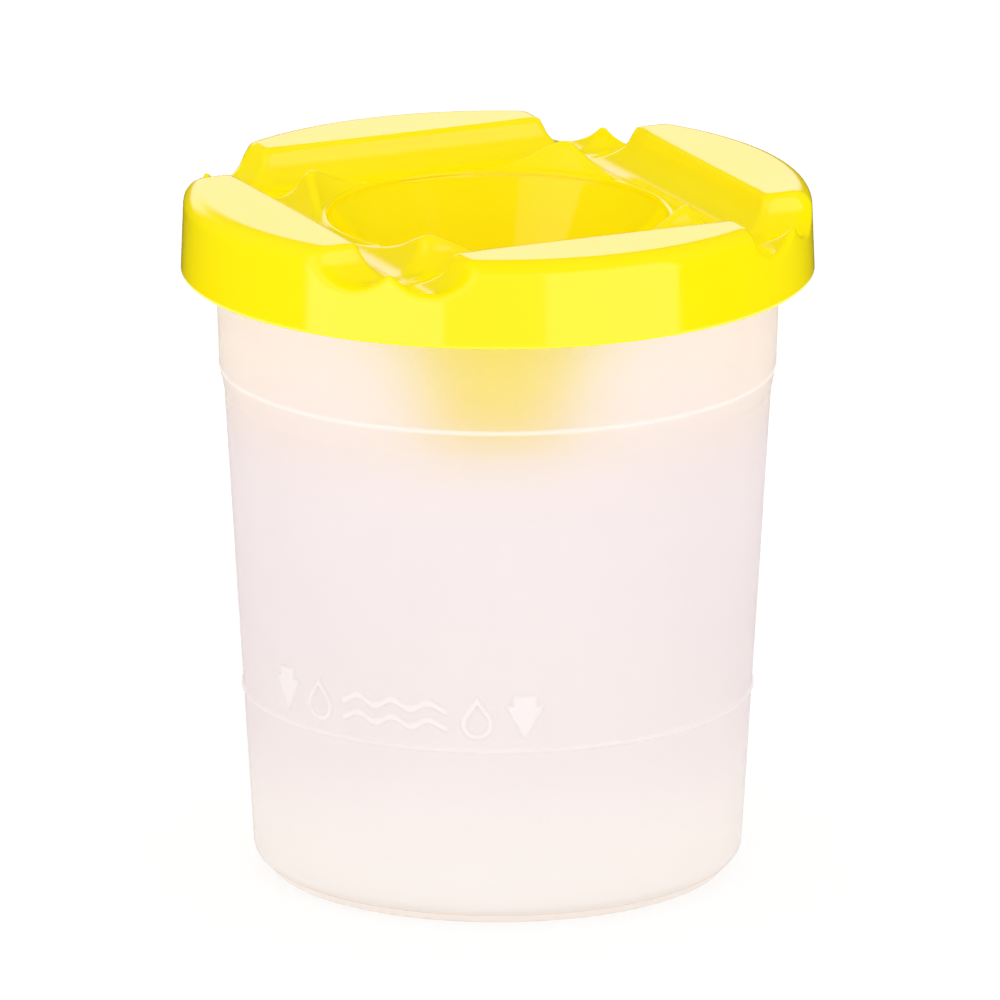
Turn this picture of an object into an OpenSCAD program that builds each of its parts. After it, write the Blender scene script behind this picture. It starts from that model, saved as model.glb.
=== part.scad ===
// Non-spill brush washer: a tapered water pot and a push-on lid whose funnel and
// four crossing brush rests are moulded in one with it.
// Millimetres, +Z up, origin at the centre of the pot's foot.

/* [Overall] */
// Outer diameter of the lid at the lower edge of its skirt
lid_d = 86; // [76:0.5:104]
// Height of the pot from the table to the top of its rim
pot_h = 88.9; // [72:0.1:108]

/* [Pot] */
// Thickness of the pot's wall
pot_wall = 1.3; // [1:0.1:2]
// Thickness of the pot's floor
floor_t = 1.4; // [1:0.1:2.4]
// Slope of the body's wall away from upright, in degrees
body_taper = 3.4; // [1:0.1:4.5]
// Slope of the collar's wall away from upright, in degrees
collar_taper = 1.8; // [0.5:0.1:3]
// Height of the collar, from its lower line to the top of the rim
collar_h = 18.6; // [12:0.1:26]
// How far the collar stands out past the body
collar_step = 0.7; // [0.4:0.1:1.2]
// Height of the sloped step below the collar
step_h = 3.4; // [1:0.1:6]
// Radius of the rounded corner at the base
corner_r = 2.3; // [2.1:0.1:5]
// Height of the foot ring
foot_h = 1; // [0.6:0.1:2]
// Width of the foot ring
foot_w = 1.8; // [1.2:0.1:3]
// How far the foot ring stands out past the middle of the rounded corner
foot_out = 0.2; // [0.1:0.1:1]
// How far the rim's flange stands out past the collar
flange_w = 2.7; // [1.5:0.1:4]
// Thickness of the rim's flange
flange_t = 2.2; // [1.8:0.1:3]
// Width of the bevel between the collar and the flange
flange_bevel = 0.8; // [0.4:0.1:1.2]
// Radius of the rounded outer edge of the rim
rim_edge = 0.6; // [0.3:0.1:1]

/* [Fill line and marks] */
// Height of the raised fill line above the table
fill_z = 25.1; // [18:0.1:40]
// Width of the fill line
fill_w = 0.8; // [0.5:0.1:1.5]
// How far the fill line and the marks stand out of the wall
relief = 0.35; // [0.2:0.05:0.6]
// Gap between the fill line and the marks above it
mark_gap = 1.3; // [0.8:0.1:3]
// Height of each mark
mark_h = 6.2; // [5:0.1:8]
// Width of a drop mark
drop_w = 4.4; // [3:0.1:6]
// Width of the stroke that draws a drop
stroke = 0.7; // [0.4:0.1:1.2]
// Distance round the wall from the waves' middle to each drop's middle
drop_at = 11.8; // [9:0.1:16]
// Width of an arrow mark
arrow_w = 5.2; // [3.2:0.1:7]
// Height of an arrow's head
head_h = 4.8; // [3:0.1:4.9]
// Width of an arrow's stem
stem_w = 3.1; // [1:0.1:3.1]
// Distance round the wall from the waves' middle to each arrow's middle
arrow_at = 18.2; // [15:0.1:24]
// Length of the two rows of waves
wave_w = 15.6; // [8:0.1:17]
// Number of crests in a row
crests = 3; // [2:1:5]
// How far a wave swings above and below its middle
wave_swing = 0.55; // [0.3:0.05:0.7]
// Width of the line that draws a wave
wave_line = 1; // [0.5:0.1:1.3]
// Distance between the two rows
wave_gap = 2.4; // [1.4:0.1:2.8]
// Direction in which the marks face, in degrees round the pot from its front
marks_turn = -48.9; // [-180:0.1:180]

/* [Lid] */
// Wall thickness of the lid and its funnel
lid_wall = 1.3; // [1:0.1:1.8]
// Height of the lid from the skirt's lower edge to its flat top
skirt_h = 11.7; // [9:0.1:16]
// Slope of the skirt away from upright, in degrees
skirt_taper = 2.3; // [0.5:0.1:4]
// Radius of the rounded edge round the lid's top
edge_r = 2.6; // [2:0.1:4]
// Radius of each half-round brush rest
rest_r = 4.5; // [3.5:0.1:5.5]
// Distance from the pot's axis to each brush rest's middle line
rest_at = 25.5; // [24:0.1:27]
// How far the rests widen inwards between their crossings, beside the inner peaks
rest_widen = 0.7; // [0.2:0.1:1]

/* [Funnel] */
// Radius of the funnel's mouth
mouth_r = 23.3; // [19:0.1:28]
// Depth of the funnel's mouth below the lid's flat top
mouth_depth = 4.4; // [3.5:0.1:5.5]
// Slope of the flare above the mouth, in degrees from upright
flare = 39; // [30:1:55]
// Radius where the wide cone meets the narrow one
knee_r = 12; // [10.5:0.1:15]
// Depth of that meeting below the lid's flat top
knee_depth = 20.9; // [16:0.1:26]
// Radius of the throat at the funnel's lower end
throat_r = 9; // [6:0.1:10.5]
// Depth of the throat's upper end below the lid's flat top
throat_depth = 28; // [27:0.1:34]
// Length of the straight throat
throat_l = 6; // [3:0.1:10]

/* [Clearances] */
// Gap between the pot's rim and the undersides of the brush rests
seat_gap = 0.3; // [0.2:0.05:0.6]
// Gap between the rim's flange and the inside of the skirt
skirt_gap = 0.4; // [0.35:0.05:0.8]
// Gap between the flange and the snap ridge inside the skirt
snap_gap = 0.2; // [0.15:0.05:0.3]
// Height of the snap ridge
snap_h = 1; // [0.6:0.1:1.5]
// Height of the flat on the snap ridge
snap_flat = 0.3; // [0.1:0.1:0.5]
// Distance from the flange's underside down to the snap ridge
snap_drop = 0.5; // [0.3:0.1:1]

/* [Hidden] */
$fn = 96;
past = 1;
arc_steps = 6;
mark_depth = 4;

lid_r = lid_d / 2;
lid_top = pot_h + seat_gap + lid_wall + rest_r;
skirt_z = lid_top - skirt_h;
edge_z = lid_top - edge_r;
edge_at = skirt_out(edge_z) - edge_r;
mouth_z = lid_top - mouth_depth;
knee_z = lid_top - knee_depth;
throat_z = lid_top - throat_depth;
funnel_end = throat_z - throat_l;
wide_slope = atan((mouth_r - knee_r) / (mouth_z - knee_z));
narrow_slope = atan((knee_r - throat_r) / (knee_z - throat_z));

flange_z = pot_h - flange_t;
flange_r = skirt_in(pot_h) - skirt_gap;
snap_z = flange_z - snap_drop - snap_h;
snap_mid = snap_z + snap_h / 2;
snap_r = flange_r + snap_gap;
collar_top_r = flange_r - flange_w;
collar_z = pot_h - collar_h;
body_top_z = collar_z - step_h;
body_top_r = collar_out(collar_z) - collar_step;
corner_z = foot_h + corner_r;
corner_at = body_out(corner_z) - corner_r / cos(body_taper);
foot_r = corner_at + foot_out;
floor_z = foot_h + floor_t;
inner_corner = corner_r - pot_wall;
marks_z = fill_z + fill_w / 2 + mark_gap;
marks_r = body_out(marks_z + mark_h / 2);

// Outer radius of the lid's skirt at a height
function skirt_out(z) = lid_r - (z - skirt_z) * tan(skirt_taper);
// Inner radius of the lid's skirt at a height
function skirt_in(z) = skirt_out(z) - lid_wall;
// Outer radius of the pot's collar at a height
function collar_out(z) = collar_top_r - (flange_z - z) * tan(collar_taper);
// Outer radius of the pot's body at a height
function body_out(z) = body_top_r - (body_top_z - z) * tan(body_taper);
// Points of an arc about [x, y] from one angle to another
function arc(x, y, r, from, to, steps = arc_steps) =
    [for (i = [0:steps]) let (a = from + (to - from) * i / steps) [x + r * cos(a), y + r * sin(a)]];

// The pot's section from the axis out, turned about the axis
module pot_shell() {
    rotate_extrude()
        polygon(concat(
            [[0, foot_h], [foot_r - foot_w, foot_h], [foot_r - foot_w, 0], [foot_r, 0]],
            arc(corner_at, corner_z, corner_r, -acos(foot_out / corner_r), -body_taper),
            [
                [body_out(fill_z - fill_w / 2), fill_z - fill_w / 2],
                [body_out(fill_z) + relief, fill_z - fill_w / 4],
                [body_out(fill_z) + relief, fill_z + fill_w / 4],
                [body_out(fill_z + fill_w / 2), fill_z + fill_w / 2],
                [body_top_r, body_top_z],
                [collar_out(collar_z), collar_z],
                [collar_top_r, flange_z - flange_bevel],
                [collar_top_r + flange_bevel, flange_z],
                [flange_r, flange_z]
            ],
            arc(flange_r - rim_edge, pot_h - rim_edge, rim_edge, 0, 90, 3),
            [
                [collar_top_r - pot_wall, pot_h],
                [collar_out(collar_z) - pot_wall, collar_z],
                [body_top_r - pot_wall, body_top_z]
            ],
            arc(corner_at, floor_z + inner_corner, inner_corner, -body_taper, -90),
            [[0, floor_z]]
        ));
}

// A flat outline raised on the body's wall, at a distance round it from the marks' middle
module raised(at) {
    turn = marks_turn - 90 + at / marks_r * 180 / PI;
    low = marks_z - past;
    high = marks_z + mark_h + past;
    intersection() {
        rotate([0, 0, turn])
            translate([marks_r - mark_depth, 0, marks_z])
            rotate([90, 0, 90])
            linear_extrude(mark_depth + past)
            children();
        rotate_extrude()
            polygon([
                [body_out(low) - pot_wall / 2, low],
                [body_out(low) + relief, low],
                [body_out(high) + relief, high],
                [body_out(high) - pot_wall / 2, high]
            ]);
    }
}

// A drop's outline: a round belly that draws in to a point
module drop_shape(w, h) {
    belly = w / 2;
    lean = acos(belly / (h - belly));
    polygon(concat(arc(0, belly, belly, lean - 270, 90 - lean, 18), [[0, h]]));
}

// A drop drawn as a line of even width
module drop_ring() {
    inner_w = drop_w - 2 * stroke;
    difference() {
        drop_shape(drop_w, mark_h);
        translate([0, stroke])
            drop_shape(inner_w, mark_h * inner_w / drop_w);
    }
}

// An arrow that points down
module arrow() {
    stem = stem_w / 2;
    polygon([
        [0, 0], [arrow_w / 2, head_h], [stem, head_h], [stem, mark_h],
        [-stem, mark_h], [-stem, head_h], [-arrow_w / 2, head_h]
    ]);
}

// One wavy line of the water sign
module wave(height, steps = 24) {
    half = wave_line / 2;
    xs = [for (i = [0:steps]) -wave_w / 2 + wave_w * i / steps];
    line = [for (x = xs) height + wave_swing * cos(360 * crests * x / wave_w)];
    polygon(concat(
        [for (i = [0:steps]) [xs[i], line[i] - half]],
        [for (i = [steps:-1:0]) [xs[i], line[i] + half]]
    ));
}

// The tapered pot with its stepped collar, rim flange, foot ring, fill line and marks
module pot() {
    color([0.98, 0.94, 0.92])
        union() {
            pot_shell();
            for (side = [-1, 1]) {
                raised(side * drop_at) drop_ring();
                raised(side * arrow_at) arrow();
                raised(0) wave((mark_h + side * wave_gap) / 2);
            }
        }
}

// Everything inside the lid's outer surface, from the skirt's edge to the flat top
module lid_blank() {
    rotate_extrude()
        polygon(concat(
            [[0, skirt_z], [lid_r, skirt_z]],
            arc(edge_at, edge_z, edge_r, 0, 90),
            [[0, lid_top]]
        ));
}

// The skirt with its snap ridge, and the flat top
module lid_shell() {
    rotate_extrude()
        polygon(concat(
            [[lid_r - lid_wall, skirt_z], [lid_r, skirt_z]],
            arc(edge_at, edge_z, edge_r, 0, 90),
            [[0, lid_top], [0, lid_top - lid_wall]],
            arc(edge_at, edge_z, edge_r - lid_wall, 90, 0),
            [
                [skirt_in(snap_z + snap_h), snap_z + snap_h],
                [snap_r, snap_mid + snap_flat / 2],
                [snap_r, snap_mid - snap_flat / 2],
                [skirt_in(snap_z), snap_z]
            ]
        ));
}

// Four bars of one radius and length, each square to a spoke and this far from the axis
module bars(r, at, length) {
    for (turn = [0:90:270])
        rotate([0, 0, turn])
            translate([at, 0, lid_top])
            rotate([90, 0, 0])
            cylinder(h = length, r = r, center = true);
}

// The hollows of the brush rests, wider between the crossings, or their outsides with a wall
module rests(wall = 0) {
    bars(rest_r + wall, rest_at, 2 * (lid_r + past));
    bars(rest_r + wall, rest_at - rest_widen, 2 * rest_at);
}

// The space inside the funnel, or with a wall given, the funnel's outside
module funnel_form(wall = 0) {
    end = wall > 0 ? funnel_end : funnel_end - past;
    top = wall > 0 ? lid_top : lid_top + past;
    flare_r = mouth_r + (top - mouth_z) * tan(flare);
    rotate_extrude()
        polygon([
            [0, end],
            [throat_r + wall, end],
            [throat_r + wall, throat_z],
            [knee_r + wall / cos(narrow_slope), knee_z],
            [mouth_r + wall / cos(wide_slope), mouth_z],
            [flare_r + wall / cos(flare), top],
            [0, top]
        ]);
}

// The lid: skirt, top, four brush rests that cross at the corners, and the funnel
module lid() {
    color([1, 0.9, 0.05])
        difference() {
            union() {
                lid_shell();
                funnel_form(lid_wall);
                intersection() {
                    rests(lid_wall);
                    lid_blank();
                }
            }
            rests();
            funnel_form();
        }
}

pot();
lid();
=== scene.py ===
"""A non-spill brush washer on a white table: a frosted pot and a glossy yellow lid."""

from math import acos, atan, ceil, cos, pi, radians, sin, sqrt, tan

import bpy
import numpy as np
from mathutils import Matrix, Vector


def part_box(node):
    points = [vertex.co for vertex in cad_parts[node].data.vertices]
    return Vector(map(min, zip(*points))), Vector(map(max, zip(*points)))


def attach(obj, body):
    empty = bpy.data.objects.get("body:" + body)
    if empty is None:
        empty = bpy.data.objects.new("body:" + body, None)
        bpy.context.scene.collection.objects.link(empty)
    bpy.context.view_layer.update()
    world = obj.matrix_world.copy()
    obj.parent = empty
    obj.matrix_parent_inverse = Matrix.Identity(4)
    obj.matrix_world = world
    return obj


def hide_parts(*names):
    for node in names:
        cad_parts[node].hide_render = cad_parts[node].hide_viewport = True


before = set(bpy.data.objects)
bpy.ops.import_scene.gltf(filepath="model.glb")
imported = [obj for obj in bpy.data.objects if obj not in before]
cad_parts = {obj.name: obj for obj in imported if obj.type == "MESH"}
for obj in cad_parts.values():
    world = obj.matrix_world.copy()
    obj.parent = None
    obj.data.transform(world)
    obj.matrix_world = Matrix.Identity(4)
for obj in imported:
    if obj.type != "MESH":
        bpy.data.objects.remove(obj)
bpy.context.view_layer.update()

MM = 0.001
# Both pieces stay this far inside the frame's boxes, in millimetres
INSET = 0.02

# The pot's sizes in millimetres, the outer ones from the frame
pot_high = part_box("pot")[1] / MM
POT_H = pot_high.z
FLANGE_R = pot_high.x - INSET
POT_WALL = 1.3
FLOOR_T = 1.4
FLANGE_W = 2.7
FLANGE_T = 2.2
COLLAR_H = 18.6
COLLAR_STEP = 0.7
STEP_H = 3.4
COLLAR_SLOPE = tan(radians(1.8))
BODY_SLOPE = tan(radians(3.4))
CORNER_R = 2.3
FOOT_H = 1.0
FOOT_W = 1.8
FOOT_OUT = 0.2
COLLAR_R = FLANGE_R - FLANGE_W
COLLAR_Z = POT_H - COLLAR_H
BODY_TOP_Z = COLLAR_Z - STEP_H
# The floor lies inside the first radius, and the base's outer side outside the second
FLOOR_R = 30.5
FOOT_EDGE = 30.9

# The fill line and the raised marks, in millimetres
FILL_Z = 25.1
FILL_W = 0.8
FILL_FLAT = 0.3
FILL_RELIEF = 0.26
RELIEF = 0.33
MARKS_AZIMUTH = radians(-48.9)
MARKS_NAME = "raised_marks"
MARKS_GAP = 1.3
MARKS_Z = FILL_Z + FILL_W / 2 + MARKS_GAP
MARK_H = 6.2
MARK_EDGE = 0.09
DROP_W = 4.4
DROP_AT = 11.8
STROKE = 0.7
ARROW_W = 5.2
ARROW_AT = 18.2
HEAD_H = 4.8
STEM_W = 3.1
STEM_LAP = 1
WAVE_W = 15.6
CRESTS = 3
WAVE_SWING = 0.55
WAVE_LINE = 1.0
WAVE_GAP = 2.4

# The pot's mesh: columns round it, closer in the marks' sector, and rows, closer beside the marks
POT_COLUMNS = 356
SECTOR_MARGIN = 0.6
SECTOR_SHARE = 0.68
ROWS_APART = 2.5
MARK_ROWS_APART = 0.16
MARK_ROWS = (MARKS_Z - 0.3, MARKS_Z + MARK_H + 0.4)
# What lies less than this inside the body's outer line is its outside, in millimetres
SKIN = 0.2

# The lid's sizes in millimetres, the outer ones from the frame
lid_low, lid_high = (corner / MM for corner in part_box("lid"))
LID_R = lid_high.x - INSET
LID_TOP = lid_high.z - INSET
LID_WALL = 1.3
SKIRT_H = 11.7
SKIRT_Z = lid_high.z - SKIRT_H
SKIRT_SLOPE = tan(radians(2.3))
EDGE_R = 2.6
RIM_R = 0.4
REST_R = 4.5
REST_AT = 25.5
REST_WIDEN = 0.7
WIDEN_OVER = 3
RIDGE_R = 0.9
PEAK_R = 1.9
LIP_R = 1.0
MOUTH_R = 23.3
MOUTH_Z = LID_TOP - 4.4
FLARE_SLOPE = tan(radians(39))
KNEE_R = 12.0
KNEE_Z = LID_TOP - 20.9
THROAT_R = 9.0
THROAT_Z = LID_TOP - 28
FUNNEL_SOFT = 0.5
FUNNEL_END = lid_low.z + INSET
BEAD_R = 0.42
BEAD_OUT = 0.2
BEAD_FILLET = 0.25
SNAP_Z = 85.7
SNAP_R = 0.4
SNAP_FILLET = 0.3
# The skirt's side of the lid starts here, and the funnel's side ends
SKIRT_FROM_R = MOUTH_R + 5

# The lid's mesh: rays round it, shifted towards the rests' crossings, and a walk along each
LID_RAYS = 360
RAY_SHIFT = 0.11
STRIDE = 0.08
WALK = 180
WALK_FROM_Z = SKIRT_Z + 2.5
# Rings over the top, down the funnel, round its end, up it, under the top and round the rim
RINGS = (134, 22, 12, 12, 44, 30)

# The colours of the yellow and the natural plastic, where they differ from place to place. Some are
# painted light: the yellow's paler underside for light through its thin wall, a yellow glow on the
# collar for the lid's light, and the white table's light in the pot's floor and partly at the base
YELLOW, YELLOW_CLOUD, YELLOW_UNDER = (1.0, 0.805, 0.0), (1.0, 0.84, 0.0), (1.0, 0.92, 0.0)
NATURAL, NATURAL_CLOUD = (0.917, 0.85, 0.853), (0.927, 0.863, 0.866)
BASE_TONE_AND_TABLE_LIGHT, COLLAR_PAINTED_LID_GLOW = (0.97, 0.92, 0.895), (0.998, 0.935, 0.877)
FLOOR_PAINTED_TABLE_GLOW, NATURAL_FOOT = (1.0, 1.0, 0.99), (0.99, 0.915, 0.865)
NATURAL_MARKS = (0.95, 0.885, 0.89)

# The lid's roughness where it is polished and where it is rubbed, and what blasting adds
POLISHED, RUBBED, BLASTED = 0.07, 0.12, 0.07
# The pot's roughness from its smoothest to its roughest places
FROST_LOW, FROST_HIGH = 0.68, 0.78
# How much plastic bends light, and how little two close faces of a thin wall do
PLASTIC_IOR = 1.49
THIN_WALL_IOR = 1.18

# How milky the pot's outside is, and what is added below the collar, on raised places, and along
# the step's edge as a painted highlight line
MILK = 0.16
MILK_BELOW = 0.34
MILK_MARKS = 0.2
STEP_PAINTED_HIGHLIGHT = 0.5
MILK_LINE = 0.2

# The table, and the share of it that shows as plain white
TABLE_R = 0.16
TABLE_SIDES = 96
TABLE_MATT = (0.9, 0.9, 0.9, 1)
TABLE_GLOW = 1.05
TABLE_SHARE = 0.68

# The studio: strengths of its light, where 1 is white
WHITE = 1.1
EVEN = 1.2
OVERHEAD = 1.06
BACKDROP = 1.6
DIM = 0.02
FRONT = 0.6
GLOSS_TINT = (1, 0.64, 0.97)
# Azimuth, half width and soft border of the backdrop and of the front light, in degrees
BACKDROP_AT = (165, 22, 5)
FRONT_AT = (-25, 30, 8)
# Each soft box: its azimuth and half width, its strength low down and high up, and its top
BOXES = ((-71, 27, 2.1, 1.0, 62), (18, 26, 1.8, 1.8, 48))
BOX_BORDER = 1.5
# Elevations over which that light changes, in degrees
OVERHEAD_RISE = (15, 60)
BACKDROP_FOOT, BACKDROP_TOP = (4, 9), (24, 19)
DIM_FALL = (-14.2, -18)
BOX_FOOT = (-26, -18)
BOX_RISE = (-8, 2)
BOX_TOP_FADE = 14
FRONT_TOP = (48, 42)
TINT_RISE = (-18, -14)

# The photograph's camera
CAMERA_AZIMUTH = -25.0
CAMERA_ELEVATION = 15.56
CAMERA_DISTANCE = 2.5
CAMERA_LENS = 661.6
CAMERA_SENSOR = 36
CAMERA_LOOKS_AT = 50.6 * MM
PHOTO_WIDTH = 1000
AXIS_PIXEL = 497.7


class Wire:
    """One output in a node tree. Operators between wires and numbers add Math nodes."""

    def __init__(self, tree, socket=None):
        self.tree = tree
        self.socket = socket

    def add(self, kind, links=None, out=0, **settings):
        """A node: its settings first, then its sockets' wires or values. Gives one output."""
        node = self.tree.nodes.new(kind)
        for name, value in settings.items():
            setattr(node, name, value)
        for key, value in (links or {}).items():
            if isinstance(value, Wire):
                self.tree.links.new(value.socket, node.inputs[key])
            else:
                node.inputs[key].default_value = value
        return Wire(self.tree, node.outputs[out] if len(node.outputs) else None)

    def maths(self, operation, *values):
        """A Math node on the values given, or on this wire alone where none are."""
        return self.add("ShaderNodeMath", dict(enumerate(values or [self])), operation=operation)

    def noise(self, scale, detail):
        """Soft noise over the places on this wire."""
        return self.add("ShaderNodeTexNoise", {"Vector": self, "Scale": scale, "Detail": detail})

    def along(self, axis):
        """This wire's X, Y or Z part."""
        return self.add("ShaderNodeSeparateXYZ", {0: self}, out=axis)

    def blend(self, low, high):
        """A colour from low to high as this wire goes from 0 to 1, from wires or (r, g, b)."""
        low, high = (end if isinstance(end, Wire) else (*end, 1) for end in (low, high))
        links = {"Factor": self, 6: low, 7: high}
        return self.add("ShaderNodeMix", links, out=2, data_type="RGBA")

    def __add__(self, other):
        return self.maths("ADD", self, other)

    def __sub__(self, other):
        return self.maths("SUBTRACT", self, other)

    def __rsub__(self, other):
        return self.maths("SUBTRACT", other, self)

    def __mul__(self, other):
        return self.maths("MULTIPLY", self, other)

    def __truediv__(self, other):
        return self.maths("DIVIDE", self, other)

    def __lt__(self, other):
        return self.maths("LESS_THAN", self, other)

    def __gt__(self, other):
        return self.maths("GREATER_THAN", self, other)

    def __abs__(self):
        return self.maths("ABSOLUTE")

    __radd__ = __add__
    __rmul__ = __mul__


def least(wire, *others):
    """The smallest of several wires."""
    for other in others:
        wire = wire.maths("MINIMUM", wire, other)
    return wire


def most(wire, *others):
    """The largest of several wires."""
    for other in others:
        wire = wire.maths("MAXIMUM", wire, other)
    return wire


def ramp_between(value, start, end, low=0.0, high=1.0, kind="SMOOTHSTEP"):
    """low below start, high above end, and a smooth or straight rise between them."""
    return value.add(
        "ShaderNodeMapRange",
        {0: value, 1: start, 2: end, 3: low, 4: high},
        interpolation_type=kind,
    )


def mesh_object(name, points, faces=(), edges=()):
    """A smooth-shaded mesh object from points in metres."""
    mesh = bpy.data.meshes.new(name)
    mesh.from_pydata([tuple(p) for p in points], list(edges), [tuple(f) for f in faces])
    mesh.shade_smooth()
    piece = bpy.data.objects.new(name, mesh)
    bpy.context.scene.collection.objects.link(piece)
    return piece


def node_mesh(piece, tree, **sizes):
    """Runs a geometry tree on a piece with its named sizes and keeps the result as a plain mesh."""
    modifier = piece.modifiers.new(tree.name, "NODES")
    modifier.node_group = tree
    for item in tree.interface.items_tree:
        if item.in_out == "INPUT" and item.name in sizes:
            modifier[item.identifier] = sizes[item.name]
    scene_state = bpy.context.evaluated_depsgraph_get()
    mesh = bpy.data.meshes.new_from_object(piece.evaluated_get(scene_state))
    piece.modifiers.remove(modifier)
    piece.data = mesh


def geometry_tree(name, sizes):
    """A new geometry tree with a Geometry input and output and named inputs for its sizes."""
    tree = bpy.data.node_groups.new(name, "GeometryNodeTree")
    tree.interface.new_socket("Geometry", in_out="OUTPUT", socket_type="NodeSocketGeometry")
    tree.interface.new_socket("Geometry", in_out="INPUT", socket_type="NodeSocketGeometry")
    for size, kind in sizes.items():
        tree.interface.new_socket(size, in_out="INPUT", socket_type="NodeSocket" + kind)
    group = tree.nodes.new("NodeGroupInput")
    inputs = {socket.name: Wire(tree, socket) for socket in group.outputs if socket.name}
    return tree, Wire(tree), inputs


def close_tree(geometry, material):
    """The end of a geometry tree: instances made real and the material set."""
    real = geometry.add("GeometryNodeRealizeInstances", {0: geometry})
    done = geometry.add("GeometryNodeSetMaterial", {"Geometry": real, "Material": material})
    geometry.add("NodeGroupOutput", {0: done})


def collar_out(z):
    """The radius of the collar's outside at a height."""
    return COLLAR_R - (POT_H - FLANGE_T - z) * COLLAR_SLOPE


def body_out(z):
    """The radius of the body's outside at a height."""
    return collar_out(COLLAR_Z) - COLLAR_STEP - (BODY_TOP_Z - z) * BODY_SLOPE


def body_line(height):
    """The same radius at a height that is on a wire."""
    return body_out(0) + height * BODY_SLOPE


def rounded(corners, widest=radians(12)):
    """An open outline through corners (r, z, radius), each rounded by its radius if it has one."""
    points = [np.array(corners[0][:2])]
    for before, (r, z, radius), after in zip(corners, corners[1:], corners[2:]):
        corner = np.array((r, z))
        if radius == 0:
            points.append(corner)
            continue
        sides = [np.array(end[:2]) - corner for end in (before, after)]
        a, b = (side / np.hypot(*side) for side in sides)
        half = acos(np.clip(a @ b, -1, 1)) / 2
        middle = (a + b) / np.hypot(*(a + b))
        centre = corner + middle * radius / sin(half)
        start = corner + a * radius / tan(half) - centre
        end = corner + b * radius / tan(half) - centre
        turn = pi - 2 * half
        steps = max(2, ceil(turn / widest))
        for k in range(steps + 1):
            along = turn * k / steps
            mix = (start * sin(turn - along) + end * sin(along)) / sin(turn)
            points.append(centre + mix)
    points.append(np.array(corners[-1][:2]))
    return points


def filled(points, guard=0.2):
    """The same outline with its long straight stretches divided, closer on the marks' height.

    A stretch keeps a short piece of length guard at each end, so that the rounding beside it
    shades well.
    """
    marks_low, marks_high = MARK_ROWS
    result = [points[0]]
    for start, end in zip(points, points[1:]):
        length = np.hypot(*(end - start))
        rise = end[1] - start[1]
        stops = [0.0, 1.0]
        if length > 4 * guard:
            stops = [0.0, guard / length, 1 - guard / length, 1.0]
        cuts = [(z - start[1]) / (rise + 1e-9) for z in MARK_ROWS]
        stops = sorted(stops + [cut for cut in cuts if 0.01 < cut < 0.99])
        for low, high in zip(stops, stops[1:]):
            middle = start + (end - start) * (low + high) / 2
            beside_marks = rise > 0 and marks_low < middle[1] < marks_high
            spacing = MARK_ROWS_APART if beside_marks else ROWS_APART
            parts = max(1, ceil(length * (high - low) / spacing))
            shares = [low + (high - low) * (k + 1) / parts for k in range(parts)]
            result += [start + (end - start) * share for share in shares]
    return result


def pot_section():
    """The pot's section from the middle of its underside, up the outside and back to the floor."""
    corner_z = FOOT_H + CORNER_R
    lean = atan(BODY_SLOPE)
    corner_at = body_out(corner_z) - CORNER_R / cos(lean)
    foot_r = corner_at + FOOT_OUT
    turns = np.linspace(-acos(FOOT_OUT / CORNER_R), -lean, 11)
    base = [(corner_at + CORNER_R * cos(a), corner_z + CORNER_R * sin(a), 0) for a in turns]
    half_line = FILL_W / 2
    # Each corner is a radius, a height and its rounding
    corners = [
        (0, FOOT_H, 0),
        (foot_r - FOOT_W, FOOT_H, 0.25),
        (foot_r - FOOT_W, 0, 0.3),
        (foot_r, 0, 0.35),
        (*base[0][:2], 0.12),
        *base[1:],
        (body_out(FILL_Z - half_line), FILL_Z - half_line, 0.12),
        (body_out(FILL_Z) + FILL_RELIEF, FILL_Z - half_line * FILL_FLAT, 0.12),
        (body_out(FILL_Z) + FILL_RELIEF, FILL_Z + half_line * FILL_FLAT, 0.12),
        (body_out(FILL_Z + half_line), FILL_Z + half_line, 0.12),
        (body_out(BODY_TOP_Z), BODY_TOP_Z, 1.2),
        (collar_out(COLLAR_Z), COLLAR_Z, 0.35),
        (COLLAR_R, POT_H - FLANGE_T, 0.8),
        (FLANGE_R, POT_H - FLANGE_T, 0.4),
        (FLANGE_R, POT_H, 0.6),
        (COLLAR_R - POT_WALL, POT_H, 0.5),
        (collar_out(COLLAR_Z) - POT_WALL, COLLAR_Z, 1.0),
        (body_out(BODY_TOP_Z) - POT_WALL, BODY_TOP_Z, 1.0),
        (body_out(FOOT_H + FLOOR_T) - POT_WALL, FOOT_H + FLOOR_T, CORNER_R - POT_WALL),
        (0, FOOT_H + FLOOR_T, 0),
    ]
    return filled(rounded(corners))


def marks_height(across, up, stroke, drop_at, arrow_at):
    """Distance to the nearest mark, below 0 inside it, from places across and up the wall."""
    # Two rows of waves, the sign for water
    crest = (across * (2 * pi * CRESTS / WAVE_W)).maths("COSINE") * WAVE_SWING
    middles = [(MARK_H - WAVE_GAP) / 2, (MARK_H + WAVE_GAP) / 2]
    rows = [abs(up - crest - middle) - WAVE_LINE / 2 for middle in middles]
    waves = most(least(*rows), abs(across) - WAVE_W / 2)
    # A drop on each side: a round belly that draws in along two straight sides to its point
    belly = DROP_W / 2
    lean = belly / (MARK_H - belly)
    rise = sqrt(1 - lean * lean)
    side = abs(abs(across) - drop_at)
    height = up - belly
    along = height * rise - side * lean
    straight = side * rise + height * lean - belly
    round_part = (side * side + height * height).maths("SQRT") - belly
    on_sides = along > 0
    drop = straight * on_sides + round_part * (1 - on_sides)
    ring = abs(drop + stroke / 2) - stroke / 2
    # An arrow outside each drop, pointing down, with a short stem
    side = abs(abs(across) - arrow_at)
    slope = ARROW_W / 2 / HEAD_H
    point = most((side - up * slope) * cos(atan(slope)), up - HEAD_H)
    stem = most(side - STEM_W / 2, up - MARK_H, HEAD_H - STEM_LAP - up)
    return least(waves, ring, point, stem)


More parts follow.
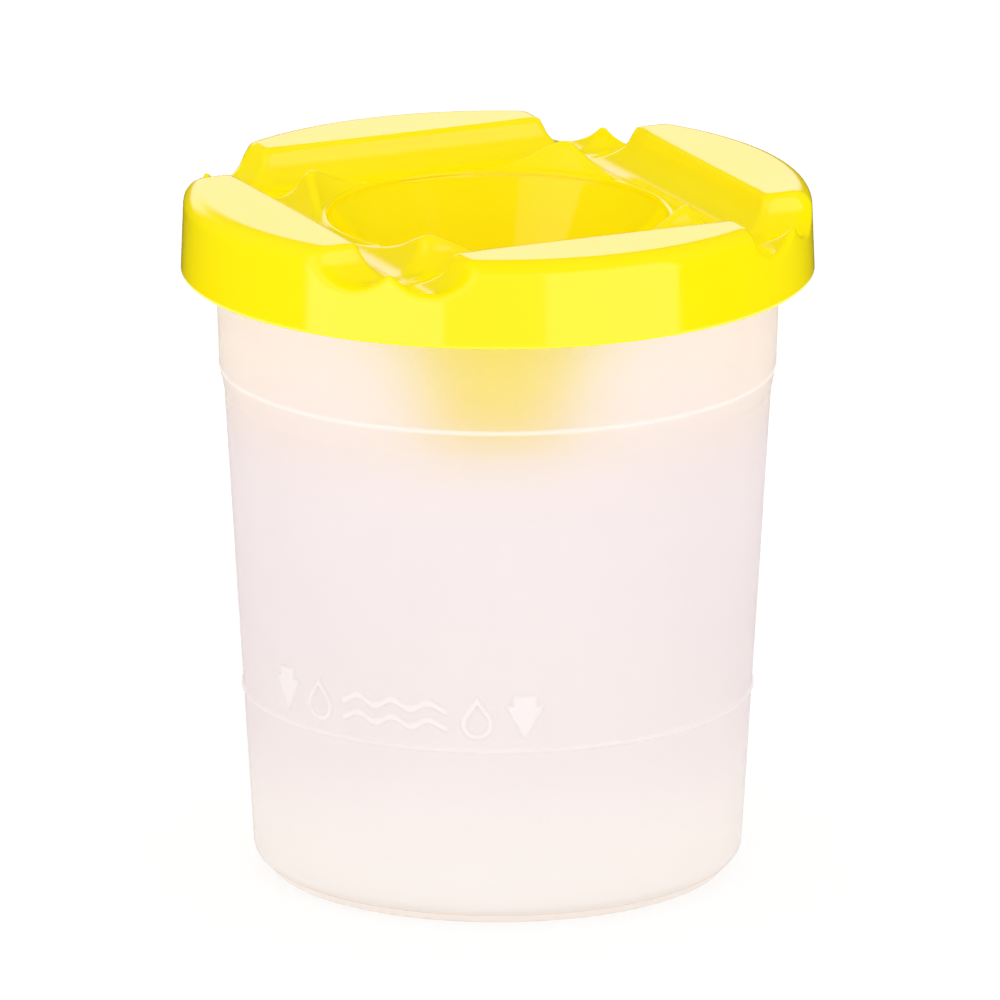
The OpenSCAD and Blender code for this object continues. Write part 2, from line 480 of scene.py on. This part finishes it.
def turned_pot_tree():
    """Turns a section about the axis and raises the marks out of the wall."""
    sizes = {
        "Columns": "Int",
        "Marks azimuth": "Float",
        "Half of the marks' sector": "Float",
        "Columns in the sector": "Float",
        "Marks bottom": "Float",
        "Relief": "Float",
        "Stroke": "Float",
        "Drops at": "Float",
        "Arrows at": "Float",
        "Material": "Material",
    }
    tree, start, given = geometry_tree("turned_pot", sizes)
    rows = start.add("GeometryNodeAttributeDomainSize", {0: given["Geometry"]}, out="Point Count")
    columns = given["Columns"]
    grid = start.add(
        "GeometryNodeMeshGrid", {"Vertices X": columns + 1, "Vertices Y": rows}, out="Mesh"
    )
    index = start.add("GeometryNodeInputIndex")
    column = ((index + 0.5) / rows).maths("FLOOR")
    row = index - column * rows
    position = start.add("GeometryNodeInputPosition")
    place = start.add(
        "GeometryNodeSampleIndex",
        {"Geometry": given["Geometry"], "Value": position, "Index": row},
        data_type="FLOAT_VECTOR",
        domain="POINT",
    )
    radius = place.along("X")
    height = place.along("Z")
    # Columns lie close together in the marks' sector and further apart round the rest
    share = column / columns * 2 - 1
    dense = given["Columns in the sector"]
    half = given["Half of the marks' sector"]
    inside = ramp_between(abs(share), 0, dense, 0, half, "LINEAR")
    outside = ramp_between(abs(share), dense, 1, 0, pi - half, "LINEAR")
    turn = (inside + outside) * share.maths("SIGN")
    # The marks stand out only where the row is on the outer wall
    across = turn * body_out(MARKS_Z + MARK_H / 2)
    up = height / MM - given["Marks bottom"]
    distance = marks_height(
        across, up, given["Stroke"], given["Drops at"], given["Arrows at"]
    )
    outer = (radius / MM) > (body_line(height / MM) - SKIN)
    marks = ramp_between(distance, -MARK_EDGE, MARK_EDGE, 1, 0) * outer
    full = radius + marks * given["Relief"] * MM
    angle = turn + given["Marks azimuth"]
    x = full * angle.maths("SINE")
    y = full * angle.maths("COSINE") * -1
    spot = start.add("ShaderNodeCombineXYZ", {"X": x, "Y": y, "Z": height})
    placed = start.add("GeometryNodeSetPosition", {"Geometry": grid, "Position": spot})
    marked = start.add(
        "GeometryNodeStoreNamedAttribute",
        {"Geometry": placed, "Name": MARKS_NAME, "Value": marks},
        data_type="FLOAT",
        domain="POINT",
    )
    joined = start.add("GeometryNodeMergeByDistance", {"Geometry": marked, "Distance": 1e-6})
    smooth = start.add("GeometryNodeSetShadeSmooth", {"Geometry": joined})
    close_tree(smooth, given["Material"])
    return tree


def make_pot(material):
    """The pot's section, turned about the axis by a geometry tree that also raises the marks."""
    section = [(r * MM, 0, z * MM) for r, z in pot_section()]
    chain = [(k, k + 1) for k in range(len(section) - 1)]
    pot = mesh_object("frosted_pot", section, edges=chain)
    sizes = {
        "Columns": POT_COLUMNS,
        "Marks azimuth": MARKS_AZIMUTH,
        "Half of the marks' sector": (ARROW_AT + ARROW_W / 2 + SECTOR_MARGIN) / body_out(MARKS_Z),
        "Columns in the sector": SECTOR_SHARE,
        "Marks bottom": MARKS_Z,
        "Relief": RELIEF,
        "Stroke": STROKE,
        "Drops at": DROP_AT,
        "Arrows at": ARROW_AT,
        "Material": material,
    }
    node_mesh(pot, turned_pot_tree(), **sizes)
    return pot


def round_both(a, b, r):
    """The distance to what lies inside both a and b, with their shared edge rounded by r."""
    corner = np.hypot(np.maximum(a + r, 0), np.maximum(b + r, 0))
    return np.minimum(np.maximum(a, b), -r) + corner


def round_either(a, b, r):
    """The distance to what lies inside a or b, with a fillet of r where they meet."""
    corner = np.hypot(np.maximum(r - a, 0), np.maximum(r - b, 0))
    return np.maximum(np.minimum(a, b), r) - corner


def funnel_clear(r, z):
    """How far a place is inside the funnel's open space; the space narrows in four stages."""
    stages = [(MOUTH_R, MOUTH_Z, FLARE_SLOPE)]
    for low, high in (
        ((KNEE_R, KNEE_Z), (MOUTH_R, MOUTH_Z)),
        ((THROAT_R, THROAT_Z), (KNEE_R, KNEE_Z)),
    ):
        stages.append((*low, (high[0] - low[0]) / (high[1] - low[1])))
    stages.append((THROAT_R, THROAT_Z, 0.0))
    flare, cone, neck, throat = (
        (at + (z - low_z) * slope - r) * cos(atan(slope)) for at, low_z, slope in stages
    )
    lower = round_both(round_both(cone, neck, FUNNEL_SOFT), throat, FUNNEL_SOFT)
    return np.maximum(flare, lower)


def lid_distance(x, y, z):
    """Distance from places to the lid's surface, below 0 inside the plastic."""
    r = np.hypot(x, y)
    lean = cos(atan(SKIRT_SLOPE))
    side = (r - LID_R + (z - SKIRT_Z) * SKIRT_SLOPE) * lean
    solid = round_both(side, z - LID_TOP, EDGE_R)
    inner = np.clip((REST_AT - np.maximum(abs(x), abs(y))) / WIDEN_OVER, 0, 1)
    for across, along in ((x, y), (y, x)):
        # Between the crossings each rest is wider on the funnel's side
        off = abs(across) - REST_AT
        wider = REST_WIDEN * np.clip((REST_AT - abs(along)) / WIDEN_OVER, 0, 1)
        off = off + np.clip(-off, 0, wider)
        rest = np.hypot(off, np.minimum(z - LID_TOP, 0)) - REST_R
        solid = round_both(solid, -rest, RIDGE_R + (PEAK_R - RIDGE_R) * inner)
    solid = round_both(solid, funnel_clear(r, z), LIP_R)
    bead = np.hypot(r - MOUTH_R - BEAD_OUT, z - MOUTH_Z) - BEAD_R
    solid = round_either(solid, bead, BEAD_FILLET)
    # The lid is the outermost layer of that solid, as thick as its wall and open underneath
    shell = np.maximum(solid, -solid - LID_WALL)
    snap = np.hypot(r - LID_R + LID_WALL, z - SNAP_Z) - SNAP_R
    shell = round_either(shell, snap, SNAP_FILLET)
    bottom = np.where(r > SKIRT_FROM_R, SKIRT_Z, FUNNEL_END) - z
    return round_both(shell, bottom, RIM_R)


def walk_sections(turns):
    """Every place passed on a walk once round the lid's section, in each of the directions."""
    over, up = np.cos(turns), np.sin(turns)

    def distance(r, z):
        return lid_distance(r * over, r * up, z)

    def slope(r, z, h=1e-3):
        dr = (distance(r + h, z) - distance(r - h, z)) / (2 * h)
        dz = (distance(r, z + h) - distance(r, z - h)) / (2 * h)
        size = np.hypot(dr, dz)
        return dr / size, dz / size, size

    z = np.full(len(turns), WALK_FROM_Z)
    r = LID_R - (z - SKIRT_Z) * SKIRT_SLOPE
    path = []
    for _ in range(int(WALK / STRIDE)):
        path.append((r, z))
        nr, nz, _ = slope(r, z)
        r, z = r - nz * STRIDE, z + nr * STRIDE
        # Two steps back onto the surface
        for _ in range(2):
            nr, nz, size = slope(r, z)
            off = distance(r, z) / size
            r, z = r - nr * off, z - nz * off
    return np.array(path)


def walk_marks(r, z):
    """Where a walk ends each of its stretches, as places along it, from its start on the skirt."""
    end_z = FUNNEL_END + 1.2
    reached = (
        (r < MOUTH_R) & (z < MOUTH_Z - 1),
        z < end_z,
        z > end_z,
        z > MOUTH_Z - 4,
        (z < SKIRT_Z + 3.6) & (r > SKIRT_FROM_R),
        (z > WALK_FROM_Z) & (r > LID_R - 0.7),
    )
    marks = [0]
    for there in reached:
        marks.append(marks[-1] + 1 + int(np.argmax(there[marks[-1] + 1 :])))
    return marks


def spaced(path, marks, counts):
    """Places at equal steps along a path, with a set count between each two marked places."""
    length = np.append(0, np.cumsum(np.hypot(*np.diff(path, axis=0).T)))
    stops = []
    for low, high, count in zip(marks, marks[1:], counts):
        stops.append(np.linspace(length[low], length[high], count, endpoint=False))
    stops = np.concatenate(stops)
    return np.stack([np.interp(stops, length, path[:, k]) for k in (0, 1)], axis=1)


def make_lid(material):
    """The lid's section differs in every direction: each is walked, evened out and skinned."""
    even = np.arange(LID_RAYS) * 2 * pi / LID_RAYS
    turns = even + RAY_SHIFT * np.sin(4 * even)
    path = walk_sections(turns)
    rings = []
    for k in range(LID_RAYS):
        r, z = path[:, 0, k], path[:, 1, k]
        rings.append(spaced(path[:, :, k], walk_marks(r, z), RINGS))
    rings = np.array(rings)
    r, z = rings[..., 0], rings[..., 1]
    places = np.stack([r * np.cos(turns)[:, None], r * np.sin(turns)[:, None], z], axis=-1)
    here = np.arange(r.size).reshape(r.shape)
    beside = np.roll(here, -1, axis=0)
    quads = np.stack([here, beside, np.roll(beside, -1, 1), np.roll(here, -1, 1)], axis=-1)
    lid = mesh_object("yellow_lid", places.reshape(-1, 3) * MM, quads.reshape(-1, 4).tolist())
    lid.data.materials.append(material)
    return lid


def new_material(name):
    """An empty node material: the wire that starts its tree."""
    material = bpy.data.materials.new(name)
    material.use_nodes = True
    material.node_tree.nodes.clear()
    return material, Wire(material.node_tree)


def about_axis(start):
    """Places on a piece, their distance from the pot's axis and their height in millimetres."""
    place = start.add("ShaderNodeTexCoord", out="Object")
    x, y, z = (place.along(axis) for axis in "XYZ")
    return place, (x * x + y * y).maths("SQRT") / MM, z / MM


def yellow_plastic():
    """Glossy moulded polypropylene, bright yellow, with faint flow waves and fine rub marks."""
    material, start = new_material("yellow_plastic")
    place, radius, height = about_axis(start)
    waves = place.noise(scale=90.0, detail=2.0)
    grain = place.noise(scale=2600.0, detail=2.0)
    cloud = place.noise(scale=38.0, detail=3.0)
    # The underside looks paler, because light comes through the thin wall from above
    down = start.add("ShaderNodeNewGeometry", out="Normal").along("Z")
    colour = ramp_between(down, -0.1, -0.25).blend(cloud.blend(YELLOW, YELLOW_CLOUD), YELLOW_UNDER)
    # The mould is polished for the skirt and the funnel and finely blasted for the top
    top = ramp_between(height, MOUTH_Z - 1, MOUTH_Z) * ramp_between(radius, MOUTH_R, MOUTH_R + 1)
    skirt = ramp_between(height, LID_TOP - 1.2, LID_TOP - 2) * (radius > LID_R - 2)
    blasted = top * (1 - skirt)
    rough = ramp_between(cloud + grain * 0.3, 0.4, 0.9, POLISHED, RUBBED) + blasted * BLASTED
    relief = waves * 0.7 + grain * (0.06 + blasted * 0.04)
    bump = start.add("ShaderNodeBump", {"Strength": 0.25, "Distance": 0.0001, "Height": relief})
    shader = start.add(
        "ShaderNodeBsdfPrincipled",
        {"Base Color": colour, "Roughness": rough, "IOR": PLASTIC_IOR, "Normal": bump},
    )
    start.add("ShaderNodeOutputMaterial", {"Surface": shader})
    return material


def frosted_plastic():
    """Natural polypropylene: milky, lets light and blurred shapes through, faintly glossy."""
    material, start = new_material("frosted_plastic")
    place, radius, height = about_axis(start)
    cloud = place.noise(scale=45.0, detail=3.0)
    grain = place.noise(scale=1800.0, detail=3.0)
    marks = start.add("ShaderNodeAttribute", out="Fac", attribute_name=MARKS_NAME)
    # A painted yellow glow on the collar for the lid's light under it, and a warmer band round the
    # foot
    colour = ramp_between(cloud, 0.3, 0.7).blend(NATURAL, NATURAL_CLOUD)
    # Paler and warmer towards the base: partly the plastic's own tone, partly painted light from
    # the white table
    colour = ramp_between(height, 24, 6).blend(colour, BASE_TONE_AND_TABLE_LIGHT)
    colour = ramp_between(height, 56, 70).blend(colour, COLLAR_PAINTED_LID_GLOW)
    # Painted light: a white glow in the pot's floor for the table's light coming through it
    floor_top = FOOT_H + FLOOR_T
    floor = ramp_between(height, floor_top + 1, floor_top) * (radius < FLOOR_R)
    colour = floor.blend(colour, FLOOR_PAINTED_TABLE_GLOW)
    ring = ramp_between(height, FOOT_H + 1.6, FOOT_H + 0.6) * (radius > FOOT_EDGE - FOOT_W)
    colour = ring.blend(colour, NATURAL_FOOT)
    colour = marks.blend(colour, NATURAL_MARKS)
    bump = start.add("ShaderNodeBump", {"Strength": 0.3, "Distance": 0.00006, "Height": grain})
    rough = ramp_between(cloud + grain * 0.2, 0.3, 0.9, FROST_LOW, FROST_HIGH)
    look = {"Base Color": colour, "Roughness": rough * (1 - marks * 0.4), "Normal": bump}
    clear = start.add(
        "ShaderNodeBsdfPrincipled", {**look, "IOR": THIN_WALL_IOR, "Transmission Weight": 1.0}
    )
    milky = start.add("ShaderNodeBsdfPrincipled", {**look, "IOR": PLASTIC_IOR})
    # The outside is milky, least at the collar and most along raised lines, and along the step's
    # convex edge, where the extra milk is a painted highlight line
    inward = start.add("ShaderNodeNewGeometry", out="Backfacing")
    foot = (radius > FOOT_EDGE) * (height < floor_top - 0.1)
    outside = most(radius > (body_line(height) - POT_WALL / 2), foot) * (1 - inward)
    below = ramp_between(height, 68, 56)
    step_highlight_mask = ramp_between(abs(height - COLLAR_Z), 0.5, 0.1)
    line = ramp_between(abs(height - FILL_Z), 0.5, 0.2)
    share = MILK + below * MILK_BELOW + marks * MILK_MARKS + step_highlight_mask * STEP_PAINTED_HIGHLIGHT + line * MILK_LINE
    both = start.add("ShaderNodeMixShader", {0: outside * share, 1: clear, 2: milky})
    start.add("ShaderNodeOutputMaterial", {"Surface": both})
    return material


def sees(start, *kinds):
    """1 for rays of any of these kinds, such as Camera or Glossy, and 0 for the rest."""
    return most(*(start.add("ShaderNodeLightPath", out=f"Is {kind} Ray") for kind in kinds))


def table_surface():
    """A white matt table that keeps a faint shadow of the pot and otherwise shows pure white."""
    material, start = new_material("table_surface")
    matt = start.add("ShaderNodeBsdfDiffuse", {"Color": TABLE_MATT})
    white = start.add("ShaderNodeEmission", {"Color": (1, 1, 1, 1), "Strength": TABLE_GLOW})
    share = sees(start, "Camera", "Glossy", "Transmission") * TABLE_SHARE
    both = start.add("ShaderNodeMixShader", {0: share, 1: matt, 2: white})
    start.add("ShaderNodeOutputMaterial", {"Surface": both})
    return material


def make_table():
    """A round table, flat and just large enough for the pot's shadow."""
    rim = [2 * pi * k / TABLE_SIDES for k in range(TABLE_SIDES)]
    points = [(TABLE_R * cos(a), TABLE_R * sin(a), 0) for a in rim]
    table = mesh_object("table", points, [range(TABLE_SIDES)])
    table.data.materials.append(table_surface())


def light_studio():
    """Even light all round. The eye sees plain white, and gloss sees a backdrop and soft boxes."""
    world = bpy.data.worlds.new("studio")
    world.use_nodes = True
    world.node_tree.nodes.clear()
    # Only without its own sampling does the world tell one kind of ray from another exactly
    world.cycles.sampling_method = "NONE"
    start = Wire(world.node_tree)
    way = start.add("ShaderNodeTexCoord", out="Generated")
    x, y, z = (way.along(axis) for axis in "XYZ")
    level = (x * x + y * y).maths("SQRT") + 0.001
    high = z.maths("ARCTAN2", z, level) * (180 / pi)

    def towards(azimuth, half, border):
        """1 within half degrees of an azimuth, and 0 past a soft border."""
        a = radians(azimuth)
        facing = (x * sin(a) - y * cos(a)) / level
        return ramp_between(facing, cos(radians(half + border)), cos(radians(half - border)))

    backdrop = towards(*BACKDROP_AT)
    backdrop = backdrop * ramp_between(high, *BACKDROP_FOOT) * ramp_between(high, *BACKDROP_TOP)
    gloss = most(backdrop * BACKDROP, ramp_between(high, *DIM_FALL, DIM, EVEN))
    foot = ramp_between(high, *BOX_FOOT)
    for azimuth, half, low, up, top in BOXES:
        box = towards(azimuth, half, BOX_BORDER) * foot
        fade = ramp_between(high, top, top - BOX_TOP_FADE)
        gloss = most(gloss, box * (ramp_between(high, *BOX_RISE, low, up) * fade))
    front = towards(*FRONT_AT) * foot
    gloss = most(gloss, front * ramp_between(high, *FRONT_TOP) * FRONT)
    # A ray through rough plastic counts as both glossy and transmitted, and sees the even light
    mirrored = sees(start, "Glossy") * (1 - sees(start, "Transmission"))
    plain = sees(start, "Camera", "Transmission")
    lit = ramp_between(high, *OVERHEAD_RISE, EVEN, OVERHEAD)
    strength = gloss * mirrored + lit * (1 - mirrored) * (1 - plain) + plain * WHITE
    tint = (mirrored * ramp_between(high, *TINT_RISE)).blend((1, 1, 1), GLOSS_TINT)
    sky = start.add("ShaderNodeBackground", {"Color": tint, "Strength": strength})
    start.add("ShaderNodeOutputWorld", {"Surface": sky})
    bpy.context.scene.world = world


def make_camera():
    """The photograph's camera: far off with a long lens, looking at the middle of the pot."""
    camera = bpy.data.cameras.new("photo_camera")
    camera.lens = CAMERA_LENS
    camera.sensor_width = CAMERA_SENSOR
    camera.shift_x = 0.5 - AXIS_PIXEL / PHOTO_WIDTH
    stand = bpy.data.objects.new("photo_camera", camera)
    a, e = radians(CAMERA_AZIMUTH), radians(CAMERA_ELEVATION)
    back = Vector((sin(a) * cos(e), -cos(a) * cos(e), sin(e)))
    stand.location = Vector((0, 0, CAMERA_LOOKS_AT)) + back * CAMERA_DISTANCE
    stand.rotation_euler = back.to_track_quat("Z", "Y").to_euler()
    bpy.context.scene.collection.objects.link(stand)
    bpy.context.scene.camera = stand


bpy.context.scene.view_settings.view_transform = "Standard"
make_camera()
make_table()
light_studio()

pot = make_pot(frosted_plastic())
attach(pot, "pot")
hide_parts("pot")

lid = make_lid(yellow_plastic())
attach(lid, "lid")
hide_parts("lid")
